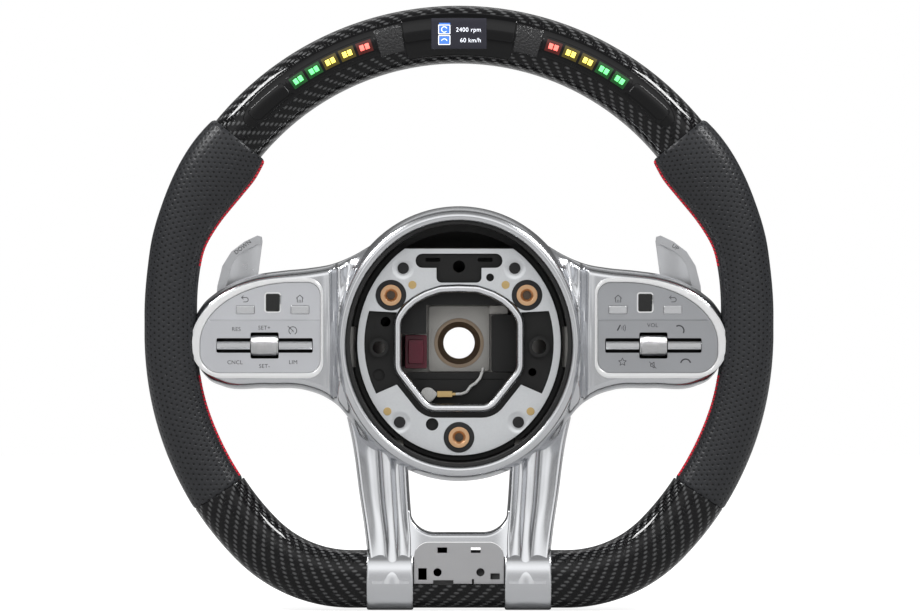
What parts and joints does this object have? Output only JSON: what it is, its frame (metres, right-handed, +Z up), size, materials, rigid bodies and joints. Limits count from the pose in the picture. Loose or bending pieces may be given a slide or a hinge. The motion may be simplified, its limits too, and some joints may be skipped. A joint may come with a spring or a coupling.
{
  "type": "car steering wheel",
  "caption": "Flat-bottomed sports steering wheel for a car, open at the hub for its airbag, with carbon and leather rim, shift light display, switch pods and paddles.",
  "frame": {"origin": "middle of the plain land of the column bore, on the axis the wheel turns about", "axes": "+Z up in the wheel plane, +X to the driver's right, +Y from the driver to the column"},
  "size_m": [0.3704, 0.0954, 0.3557],
  "materials": {
    "cast_metal": "as cast",
    "bore_steel": "oiled brown",
    "core_foam": "moulded foam",
    "carbon": "lacquered twill",
    "grip_leather": "perforated",
    "gloss_black": "piano gloss",
    "screen_glass": "gloss",
    "grained_black": "grained",
    "lens_smoke": "smoked",
    "light_chip": "lit",
    "satin_silver": "satin",
    "plate_grey": "satin",
    "cover_black": "fine grain",
    "hub_black": "moulded",
    "zinc_steel": "zinc plated",
    "copper_bush": "turned",
    "sleeve_rubber": "moulded",
    "contact_brass": "pressed",
    "maroon_plastic": "moulded",
    "white_plastic": "smooth",
    "dark_steel": "blackened",
    "paddle_silver": "satin",
    "bezel_silver": "satin",
    "switch_silver": "fine metallic",
    "key_chrome": "satin",
    "pad_black": "gloss",
    "roller_silver": "knurled"
  },
  "bodies": {
    "wheel": {"armature": "cast_metal", "bush_ribs": "cast_metal", "bush_posts": "cast_metal", "side_arms": "cast_metal", "low_arms": "cast_metal", "rim_hoop": "cast_metal", "hub_insert": "bore_steel", "rim_core": "core_foam", "carbon_top": "carbon", "carbon_lowers": "carbon", "carbon_bottom": "carbon", "leather_grips": "grip_leather", "display_housing": "gloss_black", "display_screen": "screen_glass", "touch_panels": "grained_black", "light_lenses": "lens_smoke", "light_chips": "light_chip", "end_keys": "gloss_black", "hub_ring": "satin_silver", "arm_trims": "satin_silver", "trim_lower": "satin_silver", "badge_plate": "plate_grey", "rear_cover": "cover_black", "arm_covers": "cover_black", "lower_cover": "cover_black", "hub_liner": "hub_black", "contact_carrier": "hub_black", "carrier_lip": "hub_black", "carrier_shelf": "hub_black", "guide_bushes": "copper_bush", "bush_sleeves": "sleeve_rubber", "control_units": "hub_black", "connector_block": "maroon_plastic", "horn_lead": "white_plastic", "lead_terminal": "contact_brass", "lead_cap": "white_plastic", "cover_screws": "dark_steel", "paddle_brackets": "cover_black", "paddle_pins": "dark_steel", "switch_housings": "hub_black", "switch_bezels": "bezel_silver", "switch_plates": "switch_silver"},
    "horn_plate": {"horn_plate": "zinc_steel", "plate_bead": "zinc_steel", "contact_rivets": "contact_brass", "rubber_buffers": "sleeve_rubber"},
    "paddle_left": {"paddle_left": "paddle_silver"},
    "back_button_left": {"back_button_left": "key_chrome"},
    "home_button_left": {"home_button_left": "key_chrome"},
    "touch_pad_left": {"touch_pad_left": "pad_black"},
    "outer_rocker_left": {"outer_rocker_left": "key_chrome"},
    "inner_rocker_left": {"inner_rocker_left": "key_chrome"},
    "roller_left": {"roller_left": "roller_silver"},
    "paddle_right": {"paddle_right": "paddle_silver"},
    "back_button_right": {"back_button_right": "key_chrome"},
    "home_button_right": {"home_button_right": "key_chrome"},
    "touch_pad_right": {"touch_pad_right": "pad_black"},
    "outer_rocker_right": {"outer_rocker_right": "key_chrome"},
    "inner_rocker_right": {"inner_rocker_right": "key_chrome"},
    "roller_right": {"roller_right": "roller_silver"}
  },
  "joints": [
    {"name": "horn_press", "type": "slide", "parent": "wheel", "child": "horn_plate", "axis": [0, 1, 0], "range_m": [0, 0.0012], "stiffness_N_per_m": 6000, "springref_m": -0.002},
    {"name": "paddle_left_pull", "type": "hinge", "parent": "wheel", "child": "paddle_left", "pos_m": [-0.088, -0.04, 0.011], "axis": [0, 0, 1], "range_deg": [0, 3], "stiffness_Nm_per_rad": 0.8, "springref_deg": -5.73},
    {"name": "back_button_left_press", "type": "slide", "parent": "wheel", "child": "back_button_left", "axis": [0, 1, 0], "range_m": [0, 0.0008], "stiffness_N_per_m": 400, "springref_m": -0.002},
    {"name": "home_button_left_press", "type": "slide", "parent": "wheel", "child": "home_button_left", "axis": [0, 1, 0], "range_m": [0, 0.0008], "stiffness_N_per_m": 400, "springref_m": -0.002},
    {"name": "touch_pad_left_press", "type": "slide", "parent": "wheel", "child": "touch_pad_left", "axis": [0, 1, 0], "range_m": [0, 0.0008], "stiffness_N_per_m": 400, "springref_m": -0.002},
    {"name": "outer_rocker_left_tilt", "type": "hinge", "parent": "wheel", "child": "outer_rocker_left", "pos_m": [-0.1142, -0.0655, -0.001], "axis": [1, 0, 0], "range_deg": [-6, 6], "stiffness_Nm_per_rad": 0.05},
    {"name": "inner_rocker_left_tilt", "type": "hinge", "parent": "wheel", "child": "inner_rocker_left", "pos_m": [-0.1142, -0.0655, -0.001], "axis": [1, 0, 0], "range_deg": [-6, 6], "stiffness_Nm_per_rad": 0.05},
    {"name": "roller_left_turn", "type": "hinge", "parent": "wheel", "child": "roller_left", "pos_m": [-0.1142, -0.0655, -0.001], "axis": [1, 0, 0], "range_deg": [-20, 20], "stiffness_Nm_per_rad": 0.02},
    {"name": "paddle_right_pull", "type": "hinge", "parent": "wheel", "child": "paddle_right", "pos_m": [0.088, -0.04, 0.011], "axis": [0, 0, -1], "range_deg": [0, 3], "stiffness_Nm_per_rad": 0.8, "springref_deg": -5.73},
    {"name": "back_button_right_press", "type": "slide", "parent": "wheel", "child": "back_button_right", "axis": [0, 1, 0], "range_m": [0, 0.0008], "stiffness_N_per_m": 400, "springref_m": -0.002},
    {"name": "home_button_right_press", "type": "slide", "parent": "wheel", "child": "home_button_right", "axis": [0, 1, 0], "range_m": [0, 0.0008], "stiffness_N_per_m": 400, "springref_m": -0.002},
    {"name": "touch_pad_right_press", "type": "slide", "parent": "wheel", "child": "touch_pad_right", "axis": [0, 1, 0], "range_m": [0, 0.0008], "stiffness_N_per_m": 400, "springref_m": -0.002},
    {"name": "outer_rocker_right_tilt", "type": "hinge", "parent": "wheel", "child": "outer_rocker_right", "pos_m": [0.1142, -0.0655, -0.001], "axis": [1, 0, 0], "range_deg": [-6, 6], "stiffness_Nm_per_rad": 0.05},
    {"name": "inner_rocker_right_tilt", "type": "hinge", "parent": "wheel", "child": "inner_rocker_right", "pos_m": [0.1142, -0.0655, -0.001], "axis": [1, 0, 0], "range_deg": [-6, 6], "stiffness_Nm_per_rad": 0.05},
    {"name": "roller_right_turn", "type": "hinge", "parent": "wheel", "child": "roller_right", "pos_m": [0.1142, -0.0655, -0.001], "axis": [1, 0, 0], "continuous": true}
  ]
}
